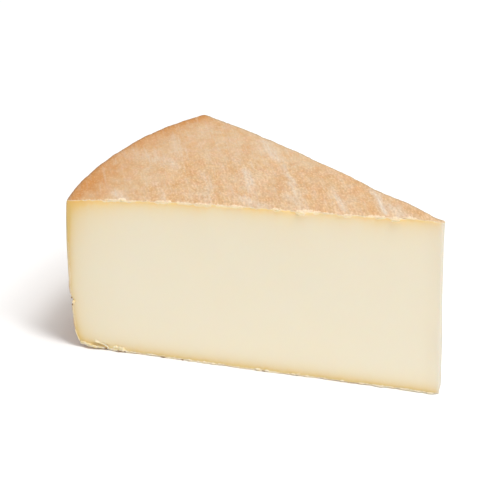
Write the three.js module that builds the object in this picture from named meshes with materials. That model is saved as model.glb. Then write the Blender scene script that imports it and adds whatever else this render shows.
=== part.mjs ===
// A wedge of firm washed-rind cheese, cut from a flat wheel and standing on the wheel's underside.
// Millimetres, +Z up. The long front cut runs along X and faces -Y, with the tip at +X and the heel,
// which is the wheel's own side, at -X. The origin is in the middle of the underside's box.
import * as THREE from 'three';

// Driving dimensions, in the wedge's own plan: the top of the tip is at x = 0, y = 0
const cutLength = 150; // from the tip to either corner of the heel
const tipHeight = 77;
const cutAngle = THREE.MathUtils.degToRad(38.15); // between the two cut faces
const wheelRadius = 129.3; // of the heel's arc
const tipLean = { x: 2.25, y: -0.75 }; // how far the tip's foot stands out from its top

// The top sinks towards the heel, faster over the last part of the way
const topFall = 6.05;
const rimDroop = 2.66;
const droopStart = 0.55; // as a share of the cut's length

// The wheel's side bulges a little, its shoulder is tight and its foot is round. The rim of the underside curves up.
const sideBulge = 1.1;
const bulgeHeight = 38;
const bulgeReach = { above: 36, below: 25 };
const shoulder = { deep: 0.7, tall: 4 };
const foot = { deep: 4, tall: 8 };
const soleRim = { rise: 1.8, reach: 20 };

// Unevenness: the size of each swelling and how far it rises or sinks
const rindSwells = [{ size: 24, rise: 0.42 }, { size: 9, rise: 0.28 }, { size: 4, rise: 0.16 }];
const cutSwells = [{ size: 48, rise: 0.3 }, { size: 13, rise: 0.12 }];
const tipWave = { size: 13, rise: 0.25, proud: 0.8, reach: 4 };
const edgeCalm = { share: 0.35, reach: 10 }; // the rind's swellings are flatter close to its sharp edges
// Swells of the top along the back cut: how far from the tip each is, how far it rises or sinks, and its half width
const backSwells = [
  { at: 17, rise: 0.85, wide: 13 }, { at: 40, rise: -0.5, wide: 4.5 }, { at: 60, rise: 0.6, wide: 16 },
  { at: 86, rise: 0.4, wide: 12 }, { at: 138, rise: -0.4, wide: 8 },
];
const backSwellReach = 9;

// Torn edges, where the knife went through the rind
const topLip = { size: 5, proud: 0.35, tall: 0.9, drop: 0.2, raggedness: 0.12 };
const footLip = { size: 6, proud: 0.45, tall: 1.3, lift: 0.5, heelFade: 12 };

// Marks on the front cut: place along X from the tip, height, half sizes, and how far each stands proud
const frontMarks = [
  // fold of rind that hangs over the top edge near the tip
  { x: -17.6, z: 75.4, wide: 2.3, tall: 1.0, proud: 0.7 },
  // flake at the step in the top edge, and the place of a lost crumb beside it
  { x: -53.5, z: 73.9, wide: 3.0, tall: 0.9, proud: 0.6 },
  { x: -58.8, z: 74.6, wide: 2.0, tall: 1.2, proud: -0.5 },
  // curled lip at the heel end of the bottom edge, the hollow above it, and the hollow's own upper lip
  { x: -142.5, z: 1.4, wide: 4.2, tall: 0.8, proud: 0.9 },
  { x: -139.0, z: 2.2, wide: 3.4, tall: 0.9, proud: -0.9 },
  { x: -138.5, z: 3.6, wide: 3.0, tall: 0.8, proud: 0.5 },
  // second flake of the bottom edge
  { x: -131.5, z: 1.4, wide: 3.0, tall: 0.9, proud: 0.7 },
  // chip off the foot of the tip
  { x: 2.6, z: 0, wide: 2.6, tall: 3.4, proud: -1.2 },
];
// Nick in the wheel's side, just behind the front cut
const heelNick = { y: 0, z: 22.5, wide: 2.4, tall: 2.2, deep: 1.1 };

// Which repeatable draw of the noise each surface takes
const draws = { top: 1, heel: 11, frontCut: 21, backCut: 31, tip: 41, topEdge: 51, bottomEdge: 61 };
const lipDraws = { top: 5, foot: 6 }; // added to the draw of each cut face

// Fineness of the mesh
const steps = 60; // along each of the three sides
const levels = 14; // from the top edge to the bottom edge
const soleCentre = 0.2; // where the underside's rings draw in to, as a share of the way from the tip
const soleShares = [0.92, 0.83]; // size of the rings as shares of the bottom edge, the last round the flat
const flatShare = 0.6; // and of the broad triangle in the middle of that flat

// The look of it
const rindAndPaste = { color: 0xeedcbc, roughness: 0.62, metalness: 0 };

// Plan of the wheel: its centre is on the line that halves the wedge
const halfAngle = cutAngle / 2;
const centreReach = cutLength * Math.cos(halfAngle)
  - Math.sqrt(wheelRadius ** 2 - (cutLength * Math.sin(halfAngle)) ** 2);
const centre = { x: -centreReach * Math.cos(halfAngle), y: centreReach * Math.sin(halfAngle) };
const heelBack = { x: -cutLength * Math.cos(cutAngle), y: cutLength * Math.sin(cutAngle) };
const arcStart = Math.atan2(-centre.y, -cutLength - centre.x) + 2 * Math.PI;
const arcEnd = Math.atan2(heelBack.y - centre.y, heelBack.x - centre.x);
const middleOfBox = {
  x: (tipLean.x + tipWave.proud + centre.x - wheelRadius - sideBulge) / 2,
  y: (tipLean.y + heelBack.y + sideBulge * Math.sin(arcEnd)) / 2,
};

const clamp01 = (t) => THREE.MathUtils.clamp(t, 0, 1);
const soften = (t) => t * t * (3 - 2 * t);
const bell = (t) => Math.exp(-t * t);

// A repeatable number from 0 to 1 for each point of a whole-number lattice
function latticeValue(ix, iy, iz, draw) {
  let h = Math.imul(ix, 374761393) ^ Math.imul(iy, 668265263);
  h ^= Math.imul(iz, 1440662683) ^ Math.imul(draw, 971215073);
  h = Math.imul(h ^ (h >>> 13), 1274126177);
  h ^= h >>> 16;
  return (h >>> 0) / 4294967295;
}

// Smooth noise from -1 to 1 whose bumps are one unit wide
function noise(x, y, z, draw) {
  const [ix, iy, iz] = [x, y, z].map(Math.floor);
  const fx = soften(x - ix);
  const fy = soften(y - iy);
  const fz = soften(z - iz);
  let sum = 0;
  for (let corner = 0; corner < 8; corner++) {
    const cx = corner & 1;
    const cy = (corner >> 1) & 1;
    const cz = corner >> 2;
    const weight = (cx ? fx : 1 - fx) * (cy ? fy : 1 - fy) * (cz ? fz : 1 - fz);
    sum += weight * latticeValue(ix + cx, iy + cy, iz + cz, draw);
  }
  return 2 * sum - 1;
}

// The sum of several layers of swellings at a place
function swelling(layers, x, y, z, draw) {
  const rises = layers.map(({ size, rise }, k) => rise * noise(x / size, y / size, z / size, draw + k));
  return rises.reduce((sum, rise) => sum + rise);
}

// How far a rounded edge has fallen back at a distance from its end
function roundOff(distance, { deep, tall }) {
  return deep * (1 - Math.sqrt(1 - clamp01(1 - distance / tall) ** 2));
}

// How far the wheel's side stands out from the wheel's radius at a height
function sideProfile(z, top) {
  const reach = z > bulgeHeight ? bulgeReach.above : bulgeReach.below;
  const bulge = sideBulge * (1 - ((z - bulgeHeight) / reach) ** 2);
  return bulge - roundOff(z, foot) - roundOff(top - z, shoulder);
}

// A place in plan: share u of the way from the tip to the heel, share v from the front cut to the back cut
function plan(u, v, z, top) {
  const angle = arcStart + (arcEnd - arcStart) * v;
  const radius = wheelRadius + sideProfile(z, top);
  const lean = 1 - z / tipHeight;
  return {
    x: (1 - u) * tipLean.x * lean + u * (centre.x + radius * Math.cos(angle)),
    y: (1 - u) * tipLean.y * lean + u * (centre.y + radius * Math.sin(angle)),
  };
}

// How far the top swells along the back cut
function backSwell(u, v) {
  const along = u * cutLength;
  const rises = backSwells.map(({ at, rise, wide }) => rise * bell((along - at) / wide));
  return rises.reduce((sum, rise) => sum + rise) * bell(along * cutAngle * (1 - v) / backSwellReach);
}

// Height of the top rind, with its unevenness, and sunk a little where an edge is torn
function rindHeight(u, v) {
  const { x, y } = plan(u, v, tipHeight, tipHeight);
  const share = Math.hypot(x, y) / cutLength;
  const droop = clamp01((share - droopStart) / (1 - droopStart));
  const height = tipHeight - topFall * share - rimDroop * droop ** 2 + backSwell(u, v);
  const fromCut = u * cutLength * cutAngle * Math.min(v, 1 - v);
  const ragged = topLip.raggedness * noise(u * cutLength / topLip.size, 7 * v, 1, draws.topEdge);
  const torn = fromCut === 0 ? topLip.drop + ragged : 0;
  return height + edgeFlatness(fromCut) * swelling(rindSwells, x, y, 0, draws.top) - torn;
}

// The wall's columns in order round the wedge: front cut from tip to heel, the heel, and the back cut home.
// Each has its place in the top's grid, its shares u and v, the way it faces in plan, and its face.
function wallColumns() {
  const columns = [];
  const backNormal = { x: Math.sin(cutAngle), y: Math.cos(cutAngle) };
  for (let k = 0; k < 3 * steps; k++) {
    const side = Math.floor(k / steps);
    const done = k % steps;
    const row = [done, steps, steps - done][side];
    const item = [0, done, steps - done][side];
    const u = row / steps;
    const v = [0, done / steps, 1][side];
    const angle = arcStart + (arcEnd - arcStart) * v;
    const faces = [{ x: 0, y: -1 }, { x: Math.cos(angle), y: Math.sin(angle) }, backNormal];
    const normal = new THREE.Vector2().copy(faces[side]);
    if (done === 0) normal.add(faces[(side + 2) % 3]).normalize();
    columns.push({ row, item, u, v, normal, onFront: k <= steps, onHeel: k > steps && k < 2 * steps });
  }
  return columns;
}

// How flat the rind's swellings are at a distance from a sharp edge
function edgeFlatness(distance) {
  return THREE.MathUtils.lerp(edgeCalm.share, 1, clamp01(distance / edgeCalm.reach));
}

// How far the wheel's side stands out from its plain shape
function heelRelief(x, y, z, top) {
  const nick = bell((y - heelNick.y) / heelNick.wide) * bell((z - heelNick.z) / heelNick.tall);
  return edgeFlatness(top - z) * swelling(rindSwells, x, y, z, draws.heel) - heelNick.deep * nick;
}

// How far a cut face stands out from its plain shape, at a distance from the tip along the cut
function cutRelief(onFront, along, x, y, z, top) {
  const draw = onFront ? draws.frontCut : draws.backCut;
  const tip = tipWave.proud + tipWave.rise * noise(0, 0, z / tipWave.size, draws.tip);
  const tornTop = 0.5 + 0.5 * noise(along / topLip.size, 0, 0, draw + lipDraws.top);
  const tornFoot = 0.5 + 0.5 * noise(along / footLip.size, 0, 0, draw + lipDraws.foot);
  let relief = swelling(cutSwells, x, y, z, draw) + tip * bell(along / tipWave.reach);
  relief += topLip.proud * tornTop * bell((top - z) / topLip.tall);
  relief += footLip.proud * tornFoot * bell(z / footLip.tall);
  if (!onFront) return relief;
  for (const mark of frontMarks) {
    relief += mark.proud * bell((x - mark.x) / mark.wide) * bell((z - mark.z) / mark.tall);
  }
  return relief;
}

// Height of the underside, which is flat but for its rim
function soleHeight(u) {
  return soleRim.rise * clamp01(1 - (1 - u) * cutLength / soleRim.reach) ** 2;
}

// Height of the bottom edge, which is torn up a little along the cuts
function bottomHeight({ u, v, onHeel }) {
  if (onHeel) return soleHeight(u);
  const torn = 0.5 + 0.5 * noise(u * cutLength / footLip.size, 9 * v, 2, draws.bottomEdge);
  return soleHeight(u) + footLip.lift * clamp01((1 - u) * cutLength / footLip.heelFade) * torn ** 2;
}

// The whole wedge as one closed body
function wedgeGeometry() {
  const points = [];
  const triangles = [];
  const addPoint = (x, y, z) => points.push(x, y, z) / 3 - 1;
  const addSolePoint = (u, v, share) => {
    const ringU = THREE.MathUtils.lerp(soleCentre, u, share);
    const { x, y } = plan(ringU, THREE.MathUtils.lerp(0.5, v, share), soleRim.rise, tipHeight);
    return addPoint(x, y, soleHeight(ringU));
  };

  // The top, a triangular grid with its rows running across from cut to cut; its edge belongs to the wall
  const grid = [];
  for (let i = 0; i <= steps; i++) {
    grid.push([]);
    for (let j = 0; j <= i; j++) {
      const u = i / steps;
      const v = i === 0 ? 0 : j / i;
      const z = rindHeight(u, v);
      const { x, y } = plan(u, v, z, z);
      const onEdge = j === 0 || j === i || i === steps;
      grid[i].push({ z, index: onEdge ? null : addPoint(x, y, z) });
    }
  }

  // The wall, column by column, from the top edge down to the bottom edge and onto the underside
  const columns = wallColumns();
  const rings = Array.from({ length: levels + 1 + soleShares.length }, () => []);
  columns.forEach((column, k) => {
    const { row, item, u, v, normal, onFront, onHeel } = column;
    const edge = grid[row][item];
    const bottom = bottomHeight(column);
    for (let level = 0; level <= levels; level++) {
      const share = (1 + Math.cos(Math.PI * level / levels)) / 2;
      const z = THREE.MathUtils.lerp(bottom, edge.z, share);
      const { x, y } = plan(u, v, z, edge.z);
      const relief = onHeel ? heelRelief(x, y, z, edge.z) : cutRelief(onFront, u * cutLength, x, y, z, edge.z);
      rings[level].push(addPoint(x + relief * normal.x, y + relief * normal.y, z));
    }
    soleShares.forEach((share, ring) => rings[levels + 1 + ring].push(addSolePoint(u, v, share)));
    edge.index = rings[0][k];
  });

  for (let i = 0; i < steps; i++) {
    for (let j = 0; j <= i; j++) {
      triangles.push(grid[i][j].index, grid[i + 1][j + 1].index, grid[i + 1][j].index);
      if (j < i) triangles.push(grid[i][j].index, grid[i][j + 1].index, grid[i + 1][j + 1].index);
    }
  }
  for (let level = 0; level < rings.length - 1; level++) {
    const [upper, lower] = [rings[level], rings[level + 1]];
    for (let k = 0; k < columns.length; k++) {
      const next = (k + 1) % columns.length;
      triangles.push(upper[k], upper[next], lower[k]);
      triangles.push(upper[next], lower[next], lower[k]);
    }
  }

  // The flat of the underside: a broad triangle in the middle, and fans from its corners out to the band
  const flat = [addSolePoint(0, 0, flatShare), addSolePoint(1, 0, flatShare), addSolePoint(1, 1, flatShare)];
  const sole = rings[rings.length - 1];
  sole.forEach((index, k) => {
    const side = Math.floor(k / steps);
    const done = k % steps;
    const next = sole[(k + 1) % sole.length];
    const farCorner = flat[(side + 1) % 3];
    if (done === steps / 2) triangles.push(flat[side], index, farCorner);
    triangles.push(index, next, done < steps / 2 ? flat[side] : farCorner);
  });
  triangles.push(...flat);

  const geometry = new THREE.BufferGeometry();
  geometry.setAttribute('position', new THREE.Float32BufferAttribute(points, 3));
  geometry.setIndex(triangles);
  geometry.computeVertexNormals();
  return geometry;
}

const wedge = new THREE.Mesh(wedgeGeometry(), new THREE.MeshStandardMaterial(rindAndPaste));
wedge.name = 'cheese_wedge';
wedge.position.set(-middleOfBox.x, -middleOfBox.y, 0);

const cheese = new THREE.Group();
cheese.add(wedge);

export default cheese;
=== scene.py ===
# A wedge of firm washed-rind cheese: a dry, grainy apricot rind on its top, side and underside, two smooth
# ivory cuts that turn golden close under the rind, and the torn lips, flakes and crumbs that the knife left.
# Lengths are in millimetres in the wedge's own plan, with the top of the tip at 0, 0 and the front cut along
# x, until place() turns them into metres in the shared frame.
from math import atan2, cos, pi, radians, sin, sqrt

import bmesh
import bpy
import numpy as np
from mathutils import Euler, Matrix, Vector


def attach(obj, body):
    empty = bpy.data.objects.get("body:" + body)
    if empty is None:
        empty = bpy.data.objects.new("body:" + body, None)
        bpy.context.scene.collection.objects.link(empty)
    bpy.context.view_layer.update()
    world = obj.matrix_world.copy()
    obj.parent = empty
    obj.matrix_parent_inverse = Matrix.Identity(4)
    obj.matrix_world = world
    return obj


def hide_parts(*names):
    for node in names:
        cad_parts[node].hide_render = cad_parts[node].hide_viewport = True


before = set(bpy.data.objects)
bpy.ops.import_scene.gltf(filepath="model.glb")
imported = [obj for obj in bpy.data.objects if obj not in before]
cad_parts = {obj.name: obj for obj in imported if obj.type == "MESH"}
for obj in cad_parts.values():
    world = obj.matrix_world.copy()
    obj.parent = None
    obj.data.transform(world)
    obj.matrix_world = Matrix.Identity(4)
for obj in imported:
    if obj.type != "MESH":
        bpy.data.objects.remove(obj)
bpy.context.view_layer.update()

# The wedge's driving dimensions, as its solid has them
CUT_LENGTH = 150
TIP_HEIGHT = 77
CUT_ANGLE = radians(38.15)
WHEEL_RADIUS = 129.3
TIP_LEAN = (2.25, -0.75)
TOP_FALL = 6.05
RIM_DROOP = 2.66
DROOP_START = 0.55
SIDE_BULGE = 1.1
BULGE_HEIGHT = 38
BULGE_REACH = {"above": 36, "below": 25}
SHOULDER = {"deep": 0.7, "tall": 4}
FOOT = {"deep": 4, "tall": 8}
SOLE_RIM = {"rise": 1.8, "reach": 20}

# Unevenness, as (size, rise) of each layer of swellings: first the solid's own, then finer ones
RIND_SWELLS = [(24, 0.42), (9, 0.28), (4, 0.16)]
RIND_GRAIN = [(2.2, 0.075), (1.2, 0.045)]
CUT_SWELLS = [(48, 0.3), (13, 0.12)]
CUT_GRAIN = [(5, 0.03)]
TIP_WAVE = {"size": 13, "rise": 0.25, "proud": 0.8, "reach": 4}
EDGE_CALM = {"share": 0.35, "reach": 10}
# Swells of the top along the back cut: how far from the tip each is, how far it rises or sinks, and its half
# width
BACK_SWELLS = [(17, 0.85, 13), (40, -0.5, 4.5), (60, 0.6, 16), (86, 0.4, 12), (138, -0.4, 8)]
BACK_SWELL_REACH = 9

# Torn edges, where the knife went through the rind
TOP_LIP = {"size": 5, "proud": 0.35, "tall": 0.9, "drop": 0.2, "raggedness": 0.12}
FOOT_LIP = {"size": 6, "proud": 0.45, "tall": 1.3, "lift": 0.5, "heel_fade": 12}
TEAR = {"size": 1.5, "rise": 0.22, "reach": 0.8}

# Marks on the front cut: place along x, height, half width, half height, and how far each stands proud
FRONT_MARKS = [
    (-17.6, 75.4, 2.3, 1.0, 0.7),  # fold of rind that hangs over the top edge near the tip
    (-53.5, 73.9, 3.0, 0.9, 0.6),  # flake at the step in the top edge
    (-58.8, 74.6, 2.0, 1.2, -0.5),  # place of a lost crumb beside it
    (-142.5, 1.4, 4.2, 0.8, 0.9),  # curled lip at the heel end of the bottom edge
    (-139.0, 2.2, 3.4, 0.9, -0.9),  # hollow above it
    (-138.5, 3.6, 3.0, 0.8, 0.5),  # upper lip of the hollow
    (-131.5, 1.4, 3.0, 0.9, 0.7),  # second flake of the bottom edge
    (2.6, 0, 2.6, 3.4, -1.2),  # chip off the foot of the tip
]
HEEL_NICK = {"y": 0, "z": 22.5, "wide": 2.4, "tall": 2.2, "deep": 1.1}

# Which repeatable draw of the noise each surface takes, and what the two lips of a cut add to it
DRAWS = {"top": 1, "heel": 11, "front": 21, "back": 31, "tip": 41, "top_edge": 51, "bottom_edge": 61,
         "underside": 71, "grain": 81, "tear": 91, "wipe": 101, "flakes": 200, "gap_shade_shreds": 500}
LIP_DRAWS = {"top": 5, "foot": 6}
# Which row of the edges' noise each cut takes, and the seed of the loose pieces' sizes and turns
EDGE_ROWS = {"front": 0, "back": 7}
PILE_SEED = 12

# The pale torn lip along the front cut's top edge: from x to x, how far it hangs below the edge, and how far
# it reaches back over the rind
TOP_TEARS = [
    (-143, -135, 0.2, 0.5), (-135, -129, 0.8, 1.0), (-129, -125.5, 0.7, 1.5), (-125.5, -121.5, 0.9, 0.6),
    (-113.5, -107, 1.0, 1.1), (-105, -99, 0.8, 0.9), (-97.5, -90.5, 1.0, 0.9), (-89, -84, 0.7, 0.8),
    (-83.5, -77, 0.7, 0.9), (-66.5, -62.8, 0.9, 1.0), (-57, -53, 1.3, 1.0), (-54.5, -50.5, 0.5, 1.5),
    (-50.5, -47.5, 0.8, 0.9), (-47.5, -41.5, 0.5, 0.6), (-38.6, -35, 1.0, 0.8), (-35, -29.5, 0.5, 0.4),
    (-29, -22, 0.8, 1.0), (-20, -16.2, 1.2, 1.0), (-14.6, -10.4, 0.4, 1.2), (-4.2, -1.8, 0.5, 0.6),
]
# The same along its bottom edge: from x to x, and how far up it reaches
FOOT_TEARS = [
    (-147.8, -138, 0.9), (-134.7, -127, 1.4), (-119.7, -114, 0.9), (-105.8, -104.4, 0.8),
    (-102.6, -99.4, 0.9), (-98, -94, 0.8), (-91.5, -89.4, 0.8), (-73.4, -69.6, 1.1), (-69.0, -66.4, 1.1),
    (-58.3, -55.8, 1.0), (-53.2, -50, 1.0), (-46, -40, 0.8), (-37.8, -36.0, 1.1), (-31, -26, 1.0),
    (-25.5, -15.5, 1.1), (-15, -9.4, 1.1), (-9.4, -3.4, 1.0), (-2.6, 0.6, 1.0),
]
# How far the lips reach where none is listed, and over what length a lip fades at its ends
PLAIN_TEAR = {"top": 0.28, "back": 0.35, "foot": 0.8}
TEAR_ENDS = 1.6
# The back cut's lips follow noise: the share of it by which they reach back over the rind, and what is added
# to it at the foot
UNSEEN_LIPS = {"back_share": 0.3, "foot_more": 0.3}

# How strongly the paste is coloured close under the rind: by x under the top, and by height beside the
# wheel's side
GOLD_BY_X = [
    (-150, 2.0), (-145, 1.7), (-141, 1.3), (-134, 1.25), (-127, 1.05), (-95, 1.05), (-90, 0.8), (-80, 0.8),
    (-75, 1.0), (-58, 1.0), (-52, 0.8), (-33, 0.8), (-26, 1.05), (-10, 1.0), (0, 0.6),
]
HONEY_BY_HEIGHT = [
    (0, 1.0), (7, 0.85), (14, 0.6), (28, 0.55), (44, 0.72), (54, 0.95), (62, 1.15), (68, 1.35),
]
# How strongly a painted contact shadow shows as a grey line at the very foot of the front cut
FOOT_SHADOW_BY_X = [(-150, 0.15), (-60, 0.2), (-38, 0.5), (-22, 0.85), (3, 0.95)]
# How far the paste is dried dull beside the tip's edge
DULL_TIP_REACH = 0.8

# Flakes and crumbs that show on the front cut's top edge: place along x, half length, drop below the edge
# and half thickness
TOP_FLAKES = [
    (-132.4, 2.6, 0.1, 0.12), (-127, 0.8, -0.1, 0.27), (-123.9, 0.7, 0.5, 0.22), (-112.4, 1, 0.1, 0.21),
    (-108.6, 0.6, 0.9, 0.22), (-101, 2.2, 0.35, 0.13), (-95, 2.6, 0.15, 0.11), (-83.2, 1, 0.4, 0.19),
    (-78.8, 0.8, 0.3, 0.19), (-74.5, 1.4, 0.1, 0.16), (-64.3, 1.2, 0.2, 0.3), (-56.5, 0.7, 1.5, 0.24),
    (-54.8, 1.7, 0.5, 0.24), (-45.2, 2.6, 0.1, 0.12), (-37.4, 0.9, 0.2, 0.18), (-32, 1.1, 0.2, 0.17),
    (-24.2, 1.7, 0.15, 0.17), (-18.4, 1.8, 1, 0.29), (-13.5, 2.8, 0.1, 0.12),
]
# The same along its bottom edge: place along x, half length, height and half thickness
FOOT_FLAKES = [
    (-125.6, 0.8, 0.8, 0.24), (-116.8, 2.2, 0.8, 0.3), (-105.0, 0.7, 0.5, 0.26), (-100.6, 1.2, 0.75, 0.38),
    (-97.0, 0.8, 0.6, 0.24), (-94.2, 0.9, 0.75, 0.36), (-90.6, 1.2, 0.6, 0.34), (-72.0, 1.3, 0.8, 0.4),
    (-68.0, 1.0, 0.8, 0.4), (-57.0, 1.2, 0.7, 0.28), (-51.6, 1.4, 0.6, 0.28), (-44.0, 1.6, 0.5, 0.2),
    (-37.0, 0.9, 0.7, 0.3), (-29.0, 1.5, 0.6, 0.26), (-22.0, 2.6, 0.6, 0.24), (-16.8, 1.4, 0.7, 0.24),
    (-12.0, 2.4, 0.6, 0.26), (-6.4, 1.9, 0.6, 0.22), (-1.2, 1.4, 0.6, 0.26),
]
# Every flake and shred: how deep its lumps are, how many it has, and how far it narrows towards its ends
FLAKE_SHAPE = {"lumps": 0.38, "many": 1.3, "narrow": 0.6}
# The flakes listed here: how many times wider than thick they are, how many times their thickness they may
# curl, how far they may turn, and how golden they are
FLAKE_WIDTH = 1.2
FLAKE_CURL = 0.5
FLAKE_TURNS = (0.3, 0.12, 0.06)
FLAKE_GOLDEN = {"top": 0.55, "foot": 0}
# Curled strips of torn rind at the heel end of the front cut: the path of each in x and height, its half
# height, its half thickness and how golden it is
STRIPS = [
    ([(-149.6, 8.5), (-148.9, 6.0), (-148.3, 4.2), (-147.7, 2.9)], 0.38, 0.3, 0.6),
    ([(-147.6, 2.7), (-145.6, 2.3), (-143.4, 1.8), (-141.0, 1.35), (-137.9, 0.95)], 0.42, 0.3, 0.6),
    ([(-141.2, 4.0), (-139.8, 3.8), (-138.3, 3.2), (-136.7, 2.3), (-135.2, 1.2)], 0.5, 0.45, 0.1),
    ([(-133.6, 1.7), (-131.8, 2.2), (-129.8, 1.9), (-127.8, 1.1)], 0.7, 0.35, 0.35),
]
# Every strip: points round it, steps for each point of its path, and the depth and size of its raggedness
# along it and of its unevenness round it
STRIP_SHAPE = {"round": 10, "steps": 8, "ragged": (0.45, 0.8), "uneven": (0.25, 0.7)}
# The crumb in the nick: x, height, half length, half thickness, how far it stands out and how golden it is
NICK_CRUMB = (-149.4, 21.7, 0.9, 0.6, 0.4, 0.6)
# Dark shreds that paint the shade in the nick, under the lips at the heel end and in small gaps along the
# foot: x, height, half length and half thickness
GAP_SHADE_SHREDS = [
    (-150.3, 23.3, 0.5, 0.3), (-150.1, 20.0, 0.45, 0.3), (-136.6, 0.9, 0.9, 0.26), (-131.0, 0.7, 1.2, 0.28),
    (-128.4, 0.5, 1.0, 0.25), (-112.0, 0.3, 1.3, 0.22), (-103.6, 0.3, 0.6, 0.2), (-69.6, 0.3, 0.7, 0.2),
    (-55.6, 0.3, 0.8, 0.18),
]
# How far they are sunk into the cut, and the height from which they stand instead of lying along the edge
GAP_SHADE_SHREDS_SUNK = 0.1
GAP_SHADE_SHREDS_STAND = 10
# Smaller loose shreds on every edge: how many on each, the stretch of the cut that they are on, how far they
# are from the foot or from the top edge of each cut, the ranges of their half sizes, how far they may turn
# and how golden they are
SHREDS = {("front", "top"): 32, ("front", "foot"): 50, ("back", "top"): 16, ("back", "foot"): 60}
SHRED_STRETCH = (2, 0.985 * CUT_LENGTH)
SHRED_HEIGHT = {"foot": (0.25, 1.1), "front": (0.05, 0.45), "back": (0.5, 1.0)}
SHRED_LONG = (0.3, 1.1)
SHRED_THICK = {"top": (0.1, 0.17), "foot": (0.12, 0.24)}
SHRED_TALL = (0.6, 1.1)
SHRED_TURNS = (0.5, 0.3, 0.15)
SHRED_GOLDEN = {"top": 0.5, "foot": 0.1}

# The direction in which the rind was wiped, in plan, and how the wiping ridged it
WIPE_ANGLE = radians(-68)
WIPE_RIDGES = {"long": 16, "wide": 1.5, "rise": 0.05}
# Pale wiped streaks on the top: upper end, lower end, half width and strength
STREAKS = [
    ((-84, 62), (-74.5, 47), 2.4, 0.85), ((-82, 60), (-75, 48), 0.7, 0.7),
    ((-70.5, 40), (-63.5, 22), 1.3, 0.75), ((-64, 23), (-57, 5), 1.1, 0.9), ((-60, 8), (-55, 2), 2.2, 0.8),
    ((-84.5, 32), (-80, 20), 1.5, 1.0), ((-80, 19), (-76, 8), 1.8, 0.5), ((-77.5, 7), (-72.5, 3), 2.8, 0.8),
    ((-47, 21), (-44, 14), 1.2, 0.4), ((-44.5, 14), (-40, 4), 1.4, 0.85),
    ((-30.5, 22), (-22.5, 4), 1.2, 1.1), ((-28.5, 20), (-21, 5), 0.7, 0.6), ((-24, 8), (-15, 1), 2.6, 0.8),
    ((-131, 6), (-128, 2), 1.8, 0.8), ((-117.5, 38), (-115.5, 35), 2.8, 0.7),
    ((-134, 42), (-126, 38), 4.0, 0.45), ((-100, 26), (-93, 5), 1.8, 0.4), ((-117, 16), (-111, 2), 1.8, 0.4),
    ((-122, 60), (-115, 44), 3.0, 0.4), ((-113, 66), (-104, 44), 3.0, 0.25),
    ((-99, 62), (-90, 40), 2.0, 0.25),
]
# How far a streak wanders, in its half widths, and over how many of them
STREAK_WANDER = {"far": 0.7, "over": 6}
# Patches where the rind has dried to amber: place, half sizes and strength
AMBER_PATCHES = [
    ((-147, 14), (11, 17), 0.72), ((-128, 72), (6, 14), 0.4), ((-120, 87), (6, 6), 0.5),
    ((-139, 34), (5, 9), 0.25), ((-37, 23), (5, 7), 0.35), ((-57, 37), (4, 6), 0.3),
    ((-68, 22), (4, 10), 0.35), ((-71, 11), (6, 6), 0.3), ((-54, 20), (5, 8), 0.2), ((-90, 41), (6, 7), 0.2),
    ((-93, 55), (6, 9), 0.15), ((-8, 5), (6, 4), 0.25),
]

# How strong the rind's grain is where it is calm, how much stronger it gets, and where
FLECKED = {"least": 0.6, "more": 0.6, "from_x": -140, "over_x": 40, "to_y": 58, "over_y": 30}

# A dull line of painted shade on the rind along the back cut, and how calm its edge is there
BACK_EDGE = {"wide": 0.6, "strength": 0.6, "calm": 0.35}

# Fineness of the mesh: steps along each side of the top, and levels down the wall, closer near both edges
STEPS = 240
LEVELS = 46
LEVEL_CROWDING = 2.3

# Colours of the surfaces themselves, red, green and blue from 0 to 255
IVORY = (243, 234, 211)
DULL_IVORY = (225, 219, 205)
GOLDEN = (251, 217, 153)
HONEY = (228, 196, 121)
DEEP_GOLD = (242, 190, 98)
CREAM = (252, 233, 201)
LIP = (244, 222, 190)
CRUMB = (253, 238, 210)
FOOT_LIP_PALE = (250, 238, 212)
APRICOT = (213, 171, 123)
STRAW = (215, 184, 146)
AMBER = (204, 142, 80)
RUSSET = (164, 122, 84)
# Colour of the dark shreds that paint the shade of small gaps
GAP_SHADE_SHRED = (134, 98, 66)
BLOOM = (221, 206, 188)
BLUSH = (222, 176, 146)
FLECK = (252, 218, 176)
DRY_SIDE = (196, 168, 126)
# Colour of the painted shade along the back cut's top edge and along the paste's edge beside the wheel's
# side
EDGE_SHADE = (172, 152, 122)
FOOT_PALE = (232, 216, 186)
# Grey of the painted contact shadow at the foot of the front cut
FOOT_SHADOW_GREY = (160, 149, 128)
WHITE = (255, 255, 255)

# The studio: how bright the sky is, and for each lamp its azimuth, its elevation, the share of white that it
# alone would give the table, and its width in metres. The table's half width and the lamps' distance are in
# metres too
SKY = 0.52
LAMPS = {"overhead": (-10, 78, 0.19, 0.88), "side": (-28, 71, 0.26, 0.6), "low side": (-24, 58, 0.18, 0.6),
         "window": (-20, 46, 0.03, 0.9)}
LAMP_DISTANCE = 2.4
TABLE_HALF = 3.0

# The view: the lens, where it stands in the wedge's plan, and which way it looks
LENS = 129.6
SENSOR = 36
EYE = (70.2, -601.9, 393.6)
LOOK_ASIDE = radians(-13.58)
LOOK_DOWN = radians(28.66)


def wheel_plan():
    """The wheel's centre, the heel's back corner, and the angles at which the heel's arc starts and ends."""
    half = CUT_ANGLE / 2
    reach = CUT_LENGTH * cos(half) - sqrt(WHEEL_RADIUS ** 2 - (CUT_LENGTH * sin(half)) ** 2)
    centre = (-reach * cos(half), reach * sin(half))
    back = (-CUT_LENGTH * cos(CUT_ANGLE), CUT_LENGTH * sin(CUT_ANGLE))
    start = atan2(-centre[1], -CUT_LENGTH - centre[0]) + 2 * pi
    end = atan2(back[1] - centre[1], back[0] - centre[0])
    return centre, back, start, end


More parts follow.
